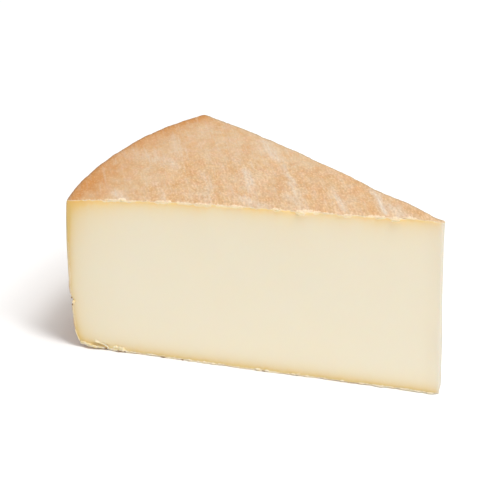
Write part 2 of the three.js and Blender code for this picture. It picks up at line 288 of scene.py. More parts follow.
CENTRE, HEEL_BACK, ARC_START, ARC_END = wheel_plan()
MIDDLE = np.array([
    (TIP_LEAN[0] + TIP_WAVE["proud"] + CENTRE[0] - WHEEL_RADIUS - SIDE_BULGE) / 2,
    (TIP_LEAN[1] + HEEL_BACK[1] + SIDE_BULGE * sin(ARC_END)) / 2,
    0,
])


def place(points):
    """Points of the wedge's plan, in millimetres, as metres in the shared frame."""
    return (np.asarray(points, float) - MIDDLE) / 1000


def soften(t):
    return t * t * (3 - 2 * t)


def bell(t):
    return np.exp(-t * t)


def clamp(t):
    return np.clip(t, 0, 1)


def lattice_value(ix, iy, iz, draw):
    """A repeatable number from 0 to 1 for each point of a whole-number lattice."""
    h = ix.astype(np.uint32) * np.uint32(374761393) ^ iy.astype(np.uint32) * np.uint32(668265263)
    h ^= iz.astype(np.uint32) * np.uint32(1440662683) ^ np.uint32(draw * 971215073 % 2 ** 32)
    h = (h ^ h >> np.uint32(13)) * np.uint32(1274126177)
    h ^= h >> np.uint32(16)
    return h / 4294967295


def noise(x, y, z, draw):
    """Smooth noise from -1 to 1 whose bumps are one unit wide."""
    places = np.broadcast_arrays(*(np.atleast_1d(np.asarray(c, float)) for c in (x, y, z)))
    whole = [np.floor(c).astype(np.int64) for c in places]
    part = [soften(c - w) for c, w in zip(places, whole)]
    total = 0
    for corner in range(8):
        step = (corner & 1, corner >> 1 & 1, corner >> 2)
        weight = 1
        for p, s in zip(part, step):
            weight = weight * (p if s else 1 - p)
        total = total + weight * lattice_value(*(w + s for w, s in zip(whole, step)), draw)
    return 2 * total - 1


def swelling(layers, x, y, z, draw):
    return sum(rise * noise(x / size, y / size, z / size, draw + k) for k, (size, rise) in enumerate(layers))


def round_off(distance, edge):
    """How far a rounded edge has fallen back at a distance from its end."""
    return edge["deep"] * (1 - np.sqrt(1 - clamp(1 - distance / edge["tall"]) ** 2))


def side_profile(z, top):
    """How far the wheel's side stands out from the wheel's radius at a height."""
    reach = np.where(z > BULGE_HEIGHT, BULGE_REACH["above"], BULGE_REACH["below"])
    bulge = SIDE_BULGE * (1 - ((z - BULGE_HEIGHT) / reach) ** 2)
    return bulge - round_off(z, FOOT) - round_off(top - z, SHOULDER)


def plan(u, v, z, top):
    """The place at share u of the way from tip to heel and share v of that from front cut to back cut."""
    angle = ARC_START + (ARC_END - ARC_START) * v
    radius = WHEEL_RADIUS + side_profile(z, top)
    lean = 1 - z / TIP_HEIGHT
    x = (1 - u) * TIP_LEAN[0] * lean + u * (CENTRE[0] + radius * np.cos(angle))
    y = (1 - u) * TIP_LEAN[1] * lean + u * (CENTRE[1] + radius * np.sin(angle))
    return x, y


def from_cut(u, v):
    """How far a place on the rind is from the nearer cut."""
    return u * CUT_LENGTH * CUT_ANGLE * np.minimum(v, 1 - v)


def wiped_relief(x, y, draw):
    """Shallow ridges along the direction in which the rind was wiped."""
    along = x * cos(WIPE_ANGLE) + y * sin(WIPE_ANGLE)
    across = y * cos(WIPE_ANGLE) - x * sin(WIPE_ANGLE)
    return WIPE_RIDGES["rise"] * noise(along / WIPE_RIDGES["long"], across / WIPE_RIDGES["wide"], 0, draw)


def back_swell(u, v):
    """How far the top swells along the back cut."""
    along = u * CUT_LENGTH
    rise = sum(rise * bell((along - at) / wide) for at, rise, wide in BACK_SWELLS)
    return rise * bell(along * CUT_ANGLE * (1 - v) / BACK_SWELL_REACH)


def rind_height(u, v):
    """Height of the top rind, with its unevenness, and sunk a little where an edge is torn."""
    x, y = plan(u, v, TIP_HEIGHT, TIP_HEIGHT)
    share = np.hypot(x, y) / CUT_LENGTH
    droop = clamp((share - DROOP_START) / (1 - DROOP_START))
    height = TIP_HEIGHT - TOP_FALL * share - RIM_DROOP * droop ** 2 + back_swell(u, v)
    inland = from_cut(u, v)
    calm = EDGE_CALM["share"] + (1 - EDGE_CALM["share"]) * clamp(inland / EDGE_CALM["reach"])
    along = u * CUT_LENGTH
    row = np.where(v < 0.5, EDGE_ROWS["front"], EDGE_ROWS["back"])
    ragged = TOP_LIP["raggedness"] * noise(along / TOP_LIP["size"], row, 1, DRAWS["top_edge"])
    ragged = ragged + TEAR["rise"] * noise(along / TEAR["size"], row, inland, DRAWS["tear"])
    ragged = ragged * np.where(v < 0.5, 1, BACK_EDGE["calm"])
    torn = (TOP_LIP["drop"] + ragged) * bell(inland / TEAR["reach"])
    grain = swelling(RIND_GRAIN, x, y, 0, DRAWS["grain"]) + wiped_relief(x, y, DRAWS["wipe"])
    return height + calm * swelling(RIND_SWELLS, x, y, 0, DRAWS["top"]) + grain - torn


def heel_relief(x, y, z, top):
    """How far the wheel's side stands out from its plain shape. It is calmer at the shoulder."""
    calm = EDGE_CALM["share"] + (1 - EDGE_CALM["share"]) * clamp((top - z) / EDGE_CALM["reach"])
    nick = bell((y - HEEL_NICK["y"]) / HEEL_NICK["wide"]) * bell((z - HEEL_NICK["z"]) / HEEL_NICK["tall"])
    grain = swelling(RIND_GRAIN, x, y, z, DRAWS["grain"])
    return calm * swelling(RIND_SWELLS, x, y, z, DRAWS["heel"]) + grain - HEEL_NICK["deep"] * nick


def cut_relief(on_front, along, x, y, z, top):
    """How far a cut face stands out from its plain shape, at a distance from the tip along the cut."""
    draw = DRAWS["front"] if on_front else DRAWS["back"]
    tip = TIP_WAVE["proud"] + TIP_WAVE["rise"] * noise(0, 0, z / TIP_WAVE["size"], DRAWS["tip"])
    torn_top = 0.5 + 0.5 * noise(along / TOP_LIP["size"], 0, 0, draw + LIP_DRAWS["top"])
    torn_foot = 0.5 + 0.5 * noise(along / FOOT_LIP["size"], 0, 0, draw + LIP_DRAWS["foot"])
    relief = swelling(CUT_SWELLS, x, y, z, draw) + tip * bell(along / TIP_WAVE["reach"])
    relief = relief + TOP_LIP["proud"] * torn_top * bell((top - z) / TOP_LIP["tall"])
    relief = relief + FOOT_LIP["proud"] * torn_foot * bell(z / FOOT_LIP["tall"])
    tear = TEAR["rise"] * noise(along / TEAR["size"], 0, z / TEAR["size"], draw + DRAWS["tear"])
    tear = tear * (1 if on_front else BACK_EDGE["calm"])
    above = z - sole_height(along / CUT_LENGTH)
    near_edge = bell((top - z) / TEAR["reach"]) + bell(above / TEAR["reach"])
    relief = relief + tear * near_edge + swelling(CUT_GRAIN, x, y, z, draw + DRAWS["grain"])
    if on_front:
        for at, height, wide, tall, proud in FRONT_MARKS:
            relief = relief + proud * bell((x - at) / wide) * bell((z - height) / tall)
    return relief


def sole_height(u):
    """Height of the underside, which is flat but for its rim."""
    return SOLE_RIM["rise"] * clamp(1 - (1 - u) * CUT_LENGTH / SOLE_RIM["reach"]) ** 2


def bottom_height(u, v):
    """Height of the bottom edge, which is torn up a little along the cuts."""
    torn = 0.5 + 0.5 * noise(u * CUT_LENGTH / FOOT_LIP["size"], 9 * v, 2, DRAWS["bottom_edge"])
    lift = FOOT_LIP["lift"] * clamp((1 - u) * CUT_LENGTH / FOOT_LIP["heel_fade"]) * torn ** 2
    return sole_height(u) + lift


def triangle_grid():
    """Shares u and v of a triangular grid, its rows' first points and its triangles, from the tip on."""
    rows = np.repeat(np.arange(STEPS + 1), np.arange(1, STEPS + 2))
    first = np.arange(STEPS + 1) * np.arange(1, STEPS + 2) // 2
    items = np.arange(len(rows)) - first[rows]
    u = rows / STEPS
    v = items / np.maximum(rows, 1)
    inner = np.nonzero(rows < STEPS)[0]
    below = first[rows[inner] + 1] + items[inner]
    wide = np.stack([inner, below + 1, below], 1)
    has_next = items[inner] < rows[inner]
    narrow = np.stack([inner, inner + 1, below + 1], 1)[has_next]
    return u, v, first, np.concatenate([wide, narrow])


def edge_walk(first):
    """The grid's edge in order round the wedge: along the front cut to the heel, round it and back home."""
    k = np.arange(STEPS)
    heel = first[STEPS]
    return np.concatenate([first[k], heel + k, first[STEPS - k] + STEPS - k])


def walls():
    """For each column of the wall: u, v, the way it faces, and if it is on the front cut or on the heel."""
    k = np.arange(3 * STEPS)
    side, done = k // STEPS, k % STEPS
    u = np.choose(side, [done, STEPS, STEPS - done]) / STEPS
    v = np.choose(side, [0, done / STEPS, 1])
    angle = ARC_START + (ARC_END - ARC_START) * v
    faces = np.array([
        [0 * angle, 0 * angle - 1],
        [np.cos(angle), np.sin(angle)],
        [0 * angle + sin(CUT_ANGLE), 0 * angle + cos(CUT_ANGLE)],
    ])
    facing = faces[side, :, k]
    for corner in range(3):
        both = facing[corner * STEPS] + faces[corner - 1, :, corner * STEPS]
        facing[corner * STEPS] = both / np.hypot(*both)
    return u, v, facing, k <= STEPS, (k > STEPS) & (k < 2 * STEPS)


def wedge_mesh():
    """The whole wedge's points and triangles, which of them are cuts, and what the finishes need."""
    u, v, first, top_faces = triangle_grid()
    edge = edge_walk(first)
    count = len(u)
    inland = from_cut(u, v)

    top_z = rind_height(u, v)
    top_x, top_y = plan(u, v, top_z, top_z)

    # Wall
    wall_u, wall_v, facing, on_front, on_heel = walls()
    edge_z = top_z[edge]
    low_z = np.where(on_heel, sole_height(wall_u), bottom_height(wall_u, wall_v))
    crowd = np.tanh(LEVEL_CROWDING * np.linspace(1, -1, LEVELS + 1)) / np.tanh(LEVEL_CROWDING)
    rings = []
    for share in (1 + crowd) / 2:
        z = low_z + (edge_z - low_z) * share
        x, y = plan(wall_u, wall_v, z, edge_z)
        along = wall_u * CUT_LENGTH
        front = cut_relief(True, along, x, y, z, edge_z)
        back = cut_relief(False, along, x, y, z, edge_z)
        relief = np.where(on_heel, heel_relief(x, y, z, edge_z), np.where(on_front, front, back))
        from_heel = (1 - wall_u) * CUT_LENGTH
        nick = bell(from_heel / HEEL_NICK["tall"]) * bell((z - HEEL_NICK["z"]) / HEEL_NICK["tall"])
        x = x + np.where(on_front, HEEL_NICK["deep"] * nick, 0)
        rings.append(np.stack([x + relief * facing[:, 0], y + relief * facing[:, 1], z], 1))

    # Underside
    sole_x, sole_y = plan(u, v, 0 * u + SOLE_RIM["rise"], 0 * u + TIP_HEIGHT)
    lift = np.maximum(0, swelling(RIND_SWELLS, sole_x, sole_y, 0, DRAWS["underside"]))
    from_edge = np.minimum(inland, (1 - u) * CUT_LENGTH)
    sole_z = sole_height(u) + lift * clamp(from_edge / EDGE_CALM["reach"])

    top = np.stack([top_x, top_y, top_z], 1)
    top[edge] = rings[0]
    sole = np.stack([sole_x, sole_y, sole_z], 1)
    sole[edge] = rings[-1]
    points = np.concatenate([top, sole, *rings[1:-1]])

    # Triangles: the wall's rings share their ends with the top's edge and the underside's edge
    columns = 3 * STEPS
    between = [2 * count + level * columns + np.arange(columns) for level in range(LEVELS - 1)]
    ring_ids = [edge, *between, count + edge]
    wall_faces = []
    for upper, lower in zip(ring_ids, ring_ids[1:]):
        upper_next, lower_next = np.roll(upper, -1), np.roll(lower, -1)
        wall_faces += [np.stack([upper, upper_next, lower], 1), np.stack([upper_next, lower_next, lower], 1)]
    side = np.arange(columns) // STEPS
    cut_faces = np.tile(side != 1, 2 * LEVELS)
    faces = np.concatenate([top_faces, count + top_faces[:, ::-1], *wall_faces])
    is_cut = np.concatenate([np.zeros(2 * len(top_faces), bool), cut_faces])

    # What the finishes need: how deep a point is under the top, in from the side and above the underside
    wall_count = LEVELS - 1
    tops = np.concatenate([top_z, top_z, np.tile(edge_z, wall_count)])
    radius = np.hypot(points[:, 0] - CENTRE[0], points[:, 1] - CENTRE[1])
    inward = WHEEL_RADIUS + side_profile(points[:, 2], tops) - radius
    shares = np.concatenate([u, u, np.tile(wall_u, wall_count)])
    beneath = np.stack([tops - points[:, 2], inward, points[:, 2] - sole_height(shares)], 1)
    wall_inland = np.where(on_heel, from_cut(wall_u, wall_v), 0)
    inland_all = np.concatenate([inland, inland, np.tile(wall_inland, wall_count)])
    return points, faces, is_cut, beneath, inland_all, shares * CUT_LENGTH


def streak_strength(x, y):
    """How strongly the pale wiped streaks show at a place on the rind."""
    pale = np.zeros_like(x)
    for upper, lower, half_width, strength in STREAKS:
        start, way = np.array(upper), np.subtract(lower, upper)
        length = np.hypot(*way)
        way = way / length
        along = (x - start[0]) * way[0] + (y - start[1]) * way[1]
        across = (y - start[1]) * way[0] - (x - start[0]) * way[1]
        draw = DRAWS["wipe"] + int(half_width * 10)
        wander = noise(along / (STREAK_WANDER["over"] * half_width), 0, 0, draw)
        beyond = np.maximum(0, np.maximum(-along, along - length))
        width = bell((across - half_width * STREAK_WANDER["far"] * wander) / half_width)
        pale = np.maximum(pale, strength * width * bell(beyond / (2 * half_width)))
    return pale


def torn_part(x, tears, item, plain):
    """How far a torn lip reaches at a place along x."""
    reach = np.full_like(x, plain)
    for tear in tears:
        start, end, value = tear[0], tear[1], tear[item]
        inside = soften(clamp((x - start) / TEAR_ENDS + 0.5)) * soften(clamp((end - x) / TEAR_ENDS + 0.5))
        reach = np.maximum(reach, value * inside)
    return reach


def flecked_strength(x, y):
    """How strongly the rind's grain shows, which is calmer towards the heel and towards the back."""
    towards_tip = soften(clamp((x - FLECKED["from_x"]) / FLECKED["over_x"]))
    towards_front = soften(clamp((FLECKED["to_y"] - y) / FLECKED["over_y"]))
    return FLECKED["least"] + FLECKED["more"] * towards_tip * towards_front


def read_off(x, steps):
    """A number read off a line through (place, number) steps."""
    return np.interp(x, *zip(*steps))


def amber_strength(x, y):
    """How strongly the amber patches show at a place on the rind."""
    amber = np.zeros_like(x)
    for (at_x, at_y), (half_x, half_y), strength in AMBER_PATCHES:
        amber = amber + strength * bell(np.hypot((x - at_x) / half_x, (y - at_y) / half_y))
    return amber


class Flow:
    """A number that changes over a surface. Arithmetic on it adds Math nodes."""

    def __init__(self, finish, socket):
        self.finish = finish
        self.socket = socket

    def __add__(self, other):
        return self.finish.math("ADD", self, other)

    def __sub__(self, other):
        return self.finish.math("SUBTRACT", self, other)

    def __rsub__(self, other):
        return self.finish.math("SUBTRACT", other, self)

    def __mul__(self, other):
        return self.finish.math("MULTIPLY", self, other)

    def __truediv__(self, other):
        return self.finish.math("DIVIDE", self, other)

    __radd__ = __add__
    __rmul__ = __mul__


def daylight(colour):
    """A colour as it looks, 0 to 255, as the light that it sends back."""
    shares = [c / 255 for c in colour]
    return [s / 12.92 if s <= 0.04045 else ((s + 0.055) / 1.055) ** 2.4 for s in shares] + [1]


class Finish:
    """A procedural material with one Principled shader."""

    def __init__(self, name, constants):
        self.material = bpy.data.materials.new(name)
        self.material.use_nodes = True
        self.nodes = self.material.node_tree.nodes
        self.links = self.material.node_tree.links
        self.shader = self.nodes["Principled BSDF"]
        for socket, value in constants.items():
            self.shader.inputs[socket].default_value = value

    def node(self, kind, settings, sockets, output=0):
        """One node: its settings first, then values or links for its sockets."""
        node = self.nodes.new("ShaderNode" + kind)
        for setting, value in settings.items():
            if setting == "stops":
                self.set_stops(node.color_ramp, value)
            else:
                setattr(node, setting, value)
        for socket, value in sockets.items():
            self.feed(node.inputs[socket], value)
        return Flow(self, node.outputs[output])

    def set_stops(self, ramp, stops):
        while len(ramp.elements) < len(stops):
            ramp.elements.new(0.5)
        for element, (position, grey) in zip(ramp.elements, stops):
            element.position = position
            element.color = (grey, grey, grey, 1)

    def feed(self, socket, value):
        if isinstance(value, Flow):
            self.links.new(value.socket, socket)
        elif isinstance(value, tuple) and len(value) == 3 and socket.type == "RGBA":
            socket.default_value = daylight(value)
        else:
            socket.default_value = value

    def math(self, operation, a, b=0.0, clamp=False):
        return self.node("Math", {"operation": operation, "use_clamp": clamp}, {0: a, 1: b})

    def clamped(self, value):
        return self.math("ADD", value, 0.0, clamp=True)

    def fade(self, distance, reach):
        """1 at no distance, falling off by a factor of e over each reach."""
        return self.math("EXPONENT", distance / -reach)

    def mix(self, share, first, second):
        """A colour between two, as Mix nodes make it."""
        settings = {"data_type": "RGBA", "clamp_factor": True}
        return self.node("Mix", settings, {0: share, 6: first, 7: second}, output=2)

    def steps(self, value, stops):
        """A number read through a curve of (position, number) stops."""
        return self.node("ValToRGB", {"stops": stops}, {0: value})

    def attribute(self, name, output):
        return self.node("Attribute", {"attribute_name": name}, {}, output=output)

    def three(self, name):
        """The three numbers of an attribute."""
        vector = self.attribute(name, "Vector")
        return [self.node("SeparateXYZ", {}, {0: vector}, output=k) for k in range(3)]

    def spots(self, size, detail=2.0, stretch=(1, 1, 1), roughness=0.5):
        """Noise from 0 to 1 with bumps of a size in millimetres, which may be stretched along the wiping."""
        where = self.node("TexCoord", {}, {}, output="Object")
        scale = [1000 / (size * s) for s in stretch]
        turning = {"Vector": where, "Angle": -WIPE_ANGLE}
        turned = self.node("VectorRotate", {"rotation_type": "Z_AXIS"}, turning)
        scaled = self.node("VectorMath", {"operation": "MULTIPLY"}, {0: turned, 1: scale})
        sockets = {"Vector": scaled, "Scale": 1.0, "Detail": detail, "Roughness": roughness}
        return self.node("TexNoise", {}, sockets)

    def shade(self, colour, brightness):
        """A colour made darker or brighter."""
        return self.node("VectorMath", {"operation": "SCALE"}, {0: colour, "Scale": brightness})

    def bump(self, height, distance):
        """Fine relief of a height from 0 to 1, whose full height is a distance in millimetres."""
        normal = self.node("Bump", {}, {"Height": height, "Distance": distance / 1000, "Strength": 1.0})
        self.feed(self.shader.inputs["Normal"], normal)

    def colour(self, flow):
        self.feed(self.shader.inputs["Base Color"], flow)

    def roughness(self, flow):
        self.feed(self.shader.inputs["Roughness"], flow)


def rind_finish():
    """Dry apricot rind: mottled, wiped pale in streaks, amber at the rim and pale where it is torn, with a
    dull line of painted shade along the back cut's top edge and a darker rim shoulder that is partly russet
    rind and partly painted shade.
    """
    finish = Finish("dry_washed_rind", {
        "Subsurface Weight": 0.1, "Subsurface Scale": 0.0015, "Subsurface Radius": (1.0, 0.6, 0.35),
        "Specular IOR Level": 0.3,
    })
    under, inward, _ = finish.three("beneath")
    _, torn_back, _ = finish.three("torn")
    inland = finish.attribute("from_cut", "Fac")
    back_edge = finish.attribute("back_edge", "Fac")
    pale = finish.attribute("pale", "Fac")
    amber = finish.attribute("amber", "Fac")
    flecked = finish.attribute("flecked", "Fac")
    on_side = finish.clamped((under - 1.5) * 0.3)

    clouds = finish.spots(13, 2, stretch=(2, 1, 1))
    mottle = finish.spots(3.2, 1, stretch=(1.8, 1, 1))
    blush = finish.spots(4.5, 2.5, stretch=(1.6, 1, 1), roughness=0.55)
    crinkle = finish.spots(1.4, 2, stretch=(2, 1, 1), roughness=0.6)
    grain = finish.spots(0.8, 1, stretch=(2, 1, 1))
    brushing = finish.spots(1.0, 2, stretch=(16, 1, 16), roughness=0.6)
    bands = finish.spots(1.6, 3, stretch=(12, 12, 1), roughness=0.6)

    colour = finish.mix(finish.steps(clouds, [(0.38, 0), (0.62, 1)]), APRICOT, STRAW)
    colour = finish.mix(finish.steps(mottle, [(0.48, 0), (0.72, 1)]) * 0.33, colour, AMBER)
    colour = finish.mix(finish.steps(mottle, [(0.28, 1), (0.48, 0)]) * 0.17, colour, BLOOM)
    colour = finish.mix(finish.steps(blush, [(0.46, 0), (0.66, 1)]) * 0.32, colour, BLUSH)
    colour = finish.mix(on_side * 0.5, colour, DRY_SIDE)
    rim = finish.fade(inward, 1.2) * 0.3 + finish.fade(inward, 6) * (mottle * 0.6 + 0.6)
    aged = clouds * 0.5 + bands * 0.7
    worn = rim * (1 - on_side) + on_side * (aged - 0.25) * 0.7 + amber * (mottle * 0.8 + 0.35)
    colour = finish.mix(finish.clamped(worn), colour, AMBER)
    # Darker at the very shoulder of the rim: partly the rind's own russet colour, partly painted shade where
    # the rounded shoulder turns away from the light
    shoulder = finish.fade(inward, 0.75) * finish.fade(under, 1.3)
    colour = finish.mix(shoulder * (crinkle * 1.2 + 0.35), colour, RUSSET)
    colour = finish.mix(finish.steps(brushing, [(0.54, 0), (0.7, 1)]) * 0.2 * (1 - on_side), colour, BLOOM)
    wiped = finish.steps(brushing, [(0.38, 0), (0.62, 1)]) * 0.4 + crinkle * 0.6 + grain * 0.5 - 0.1
    colour = finish.mix(finish.clamped(pale * wiped), colour, BLOOM)
    # Painted shade: a dull dark line along the back cut's top edge
    colour = finish.mix(back_edge, colour, EDGE_SHADE)
    pits = finish.steps(grain, [(0.34, 1), (0.45, 0)]) * flecked
    peaks = finish.steps(grain, [(0.54, 0), (0.67, 1)]) * flecked
    colour = finish.shade(colour, (crinkle - 0.5) * flecked * 0.22 + 0.985)
    colour = finish.mix(pits * 0.17, colour, RUSSET)
    colour = finish.mix(peaks * 0.27, colour, FLECK)
    torn = finish.clamped((torn_back * (mottle * 0.8 + crinkle * 1.1 + grain * 0.6) - inland) * 1.4)
    colour = finish.mix(torn * (grain * 1.1 + 0.2), colour, LIP)
    finish.colour(colour)
    finish.roughness(0.62 + grain * 0.25)
    finish.bump((grain * 0.5 + crinkle * 0.5 + brushing * 0.2) * flecked, 0.2)
    return finish.material


def paste_finish():
    """Smooth ivory paste: golden close under the rind, with pale torn lips, a grey line of painted contact
    shadow at its foot, and a thin line of painted shade beside the wheel's side.
    """
    finish = Finish("ivory_paste", {
        "Subsurface Weight": 0.3, "Subsurface Scale": 0.002, "Subsurface Radius": (1.0, 0.72, 0.42),
        "Specular IOR Level": 0.4,
    })
    under, inward, above = finish.three("beneath")
    torn_down, _, torn_up = finish.three("torn")
    gold, honey, foot_shadow = finish.three("bands")
    tip = finish.attribute("tip", "Fac")
    clouds = finish.spots(22, 2)
    ragged = finish.spots(2.6, 3, roughness=0.6)
    fine = finish.spots(0.8, 2)

    colour = finish.mix(clouds * 0.1, IVORY, GOLDEN)
    under_top = (finish.fade(under, 2.2) + finish.fade(under, 8) * 0.38) * gold
    under_top = under_top * (ragged * 0.5 + 0.75)
    colour = finish.mix(finish.clamped(under_top), colour, GOLDEN)
    colour = finish.mix(finish.clamped(under_top * 0.6 - 0.6), colour, DEEP_GOLD)
    under_side = (finish.fade(inward, 1.7) * 1.25 + finish.fade(inward, 9) * 0.42) * honey
    colour = finish.mix(finish.clamped(under_side), colour, HONEY)
    corner = finish.clamped((gold - 1.2) * 1.1) * finish.fade(under, 3.2)
    colour = finish.mix(corner, colour, DEEP_GOLD)
    over_foot = finish.fade(above, 2.3) * 1.45
    colour = finish.mix(finish.clamped(over_foot * (ragged * 0.5 + 0.84)), colour, HONEY)
    colour = finish.mix(finish.fade(above, 0.9) * 0.75, colour, FOOT_PALE)
    lip = finish.clamped((torn_down * (ragged * 1.1 + fine * 0.7 + 0.3) - under) * 3)
    foot_lip = finish.clamped((torn_up * (ragged + fine * 0.8 + 0.1) - above) * 3)
    side_lip = finish.clamped((1.05 - honey) * 2) * finish.clamped((ragged * 1.6 + 0.1 - inward) * 3)
    colour = finish.mix(lip * (fine * 1.1 + 0.15), colour, CREAM)
    colour = finish.mix(foot_lip * 0.85, colour, FOOT_LIP_PALE)
    colour = finish.mix(side_lip * 0.8, colour, CREAM)
    # Painted contact shadow: a grey line along the very foot of the front cut, the shade of the gap under
    # the torn bottom edge
    colour = finish.mix(finish.fade(above, 0.45) * foot_shadow, colour, FOOT_SHADOW_GREY)
    # Painted shade: a thin darker line along the paste's edge beside the wheel's side
    colour = finish.mix(finish.fade(inward, 0.6) * 0.35, colour, EDGE_SHADE)
    colour = finish.mix(tip, colour, DULL_IVORY)
    finish.colour(colour)
    finish.roughness(0.5 + ragged * 0.12)
    finish.bump(ragged * 0.5 + fine * 0.5, 0.04)
    return finish.material


def crumb_finish():
    """Pale torn crumb, with more or less of the golden paste in it."""
    finish = Finish("torn_crumb", {
        "Subsurface Weight": 0.3, "Subsurface Scale": 0.002, "Subsurface Radius": (1.0, 0.7, 0.4),
        "Specular IOR Level": 0.3,
    })
    patches = finish.spots(1.6, 3)
    colour = finish.mix(finish.steps(patches, [(0.4, 0), (0.7, 1)]) * 0.5, CRUMB, GOLDEN)
    colour = finish.mix(finish.attribute("golden", "Fac") * (patches * 1.2 + 0.1), colour, HONEY)
    finish.colour(colour)
    finish.roughness(0.6 + patches * 0.2)
    finish.bump(finish.spots(0.4, 2), 0.08)
    return finish.material


def gap_shade_finish():
    """Small dark shreds that paint the shade of small gaps."""
    finish = Finish("gap_shade_shred", {"Specular IOR Level": 0.3, "Roughness": 0.8})
    finish.colour(finish.mix(finish.spots(0.6, 1), GAP_SHADE_SHRED, RUSSET))
    return finish.material


def plain_finish(name, colour, roughness):
    finish = Finish(name, {"Roughness": roughness, "Base Color": daylight(colour)})
    return finish.material


def piece(name, points, faces, materials):
    """A mesh piece of the cheese, in the shared frame, that goes with its body."""
    mesh = bpy.data.meshes.new(name)
    mesh.from_pydata(place(points).tolist(), [], np.asarray(faces).tolist())
    for material in materials:
        mesh.materials.append(material)
    mesh.shade_smooth()
    thing = bpy.data.objects.new(name, mesh)
    bpy.context.scene.collection.objects.link(thing)
    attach(thing, "root")
    return thing


def write_attribute(mesh, name, values):
    """Numbers, one or three for each point, that the finishes read by their name."""
    kind, key = ("FLOAT", "value") if values.ndim == 1 else ("FLOAT_VECTOR", "vector")
    layer = mesh.attributes.new(name, kind, "POINT")
    layer.data.foreach_set(key, values.astype(np.float32).ravel())


def make_wedge(paste, rind):
    """The wedge's rind and paste as one closed mesh."""
    points, faces, is_cut, beneath, inland, from_tip = wedge_mesh()
    wedge = piece("rind_and_paste", points, faces, [rind, paste])
    wedge.data.polygons.foreach_set("material_index", is_cut.astype(np.int32))
    on_top = beneath[:, 0] < SHOULDER["tall"]
    x, y, z = points.T
    nearer_back = np.arctan2(y, -x) > CUT_ANGLE / 2
    # Painted shade along the back cut's top edge
    back_edge = np.where(nearer_back, bell(inland / BACK_EDGE["wide"]), 0)
    along_back = np.hypot(x, y)
    unseen = 0.5 + 0.5 * noise(along_back / FOOT_LIP["size"], 0, 0, DRAWS["back"])
    lips = [
        (unseen, TOP_TEARS, 2, PLAIN_TEAR["top"]),
        (unseen * UNSEEN_LIPS["back_share"], TOP_TEARS, 3, PLAIN_TEAR["back"]),
        (unseen + UNSEEN_LIPS["foot_more"], FOOT_TEARS, 2, PLAIN_TEAR["foot"]),
    ]
    torn = np.stack([np.where(nearer_back, back, torn_part(x, *front)) for back, *front in lips], 1)
    along = np.where(nearer_back, -along_back, x)
    bands = np.stack([
        read_off(along, GOLD_BY_X),
        read_off(z, HONEY_BY_HEIGHT),
        # How strongly the painted contact shadow shows at the foot
        read_off(along, FOOT_SHADOW_BY_X),
    ], 1)
    write_attribute(wedge.data, "beneath", beneath)
    write_attribute(wedge.data, "torn", torn)
    write_attribute(wedge.data, "bands", bands)
    write_attribute(wedge.data, "tip", np.exp(-from_tip / DULL_TIP_REACH))
    write_attribute(wedge.data, "from_cut", inland)
    write_attribute(wedge.data, "pale", np.where(on_top, streak_strength(x, y), 0))
    write_attribute(wedge.data, "amber", amber_strength(x, y))
    write_attribute(wedge.data, "flecked", flecked_strength(x, y))
    write_attribute(wedge.data, "back_edge", BACK_EDGE["strength"] * back_edge)
    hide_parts("cheese_wedge")


class Pile:
    """Small closed shapes gathered into one mesh."""

    def __init__(self):
        self.points = []
        self.faces = []
        self.golden = []
        self.count = 0
        ball = bmesh.new()
        bmesh.ops.create_icosphere(ball, subdivisions=2, radius=1)
        self.ball_points = np.array([v.co for v in ball.verts])
        self.ball_faces = np.array([[v.index for v in f.verts] for f in ball.faces])
        ball.free()

    def add(self, points, faces, golden=0.0):
        self.points.append(points)
        self.golden.append(np.full(len(points), golden))
        self.faces.append(np.asarray(faces) + self.count)
        self.count += len(points)

    def flake(self, at, half_sizes, turn, curl, draw, golden=0.0):
        """An uneven flake: a ball pulled out of shape, tapered, sized, curled, turned and put in place."""
        ball = self.ball_points
        lumps = 1 + FLAKE_SHAPE["lumps"] * noise(*(ball.T * FLAKE_SHAPE["many"]), draw)[:, None]
        shape = ball * lumps
        end = clamp(np.abs(shape[:, 0])) ** 2
        narrow = 1 - FLAKE_SHAPE["narrow"] * end
        shape = shape * np.stack([1 + 0 * end, narrow, narrow], 1) * half_sizes
        shape[:, 1] -= curl * end
        turned = shape @ np.array(Euler(turn).to_matrix()).T
        self.add(turned + at, self.ball_faces, golden)

    def strip(self, path, half_height, half_thick, golden, draw):
        """A ragged strip along a path: rings of points across it, drawn to a point at both ends."""
        path = np.array(path)
        bends = np.linspace(0, len(path) - 1, STRIP_SHAPE["steps"] * len(path))
        middle = np.stack([np.interp(bends, np.arange(len(path)), path[:, k]) for k in range(3)], 1)
        middle[1:-1] = (middle[:-2] + 2 * middle[1:-1] + middle[2:]) / 4
        count, sides = len(middle), STRIP_SHAPE["round"]
        done = np.linspace(0, 1, count)
        girth = np.sqrt(clamp(1 - (2 * done - 1) ** 6)) + 0.02
        depth, size = STRIP_SHAPE["ragged"]
        ragged = 1 + depth * noise(middle[:, 0] / size, middle[:, 2] / size, 0, draw)
        turns = np.arange(sides) * 2 * pi / sides
        depth, size = STRIP_SHAPE["uneven"]
        uneven = noise(middle[:, :1] / size, np.cos(turns) * 1.5 + 3, np.sin(turns) * 1.5, draw + 1)
        radius = (girth * ragged)[:, None] * (1 + depth * uneven)
        tall = half_height * radius * np.sin(turns)
        deep = half_thick * radius * np.cos(turns)
        points = middle[:, None, :] + np.stack([0 * tall, deep, tall], 2)
        ring = np.arange(sides)
        after = np.roll(ring, -1)
        faces = []
        for start in range(0, (count - 1) * sides, sides):
            a, b, c, d = start + ring, start + after, start + sides + after, start + sides + ring
            faces += [np.stack([a, b, c], 1), np.stack([a, c, d], 1)]
        centres = [points[0].mean(0), points[-1].mean(0)]
        first, last = 0 * ring + count * sides, 0 * ring + count * sides + 1
        far = (count - 1) * sides
        faces += [np.stack([first, after, ring], 1), np.stack([last, far + ring, far + after], 1)]
        self.add(np.concatenate([points.reshape(-1, 3), centres]), np.concatenate(faces), golden)


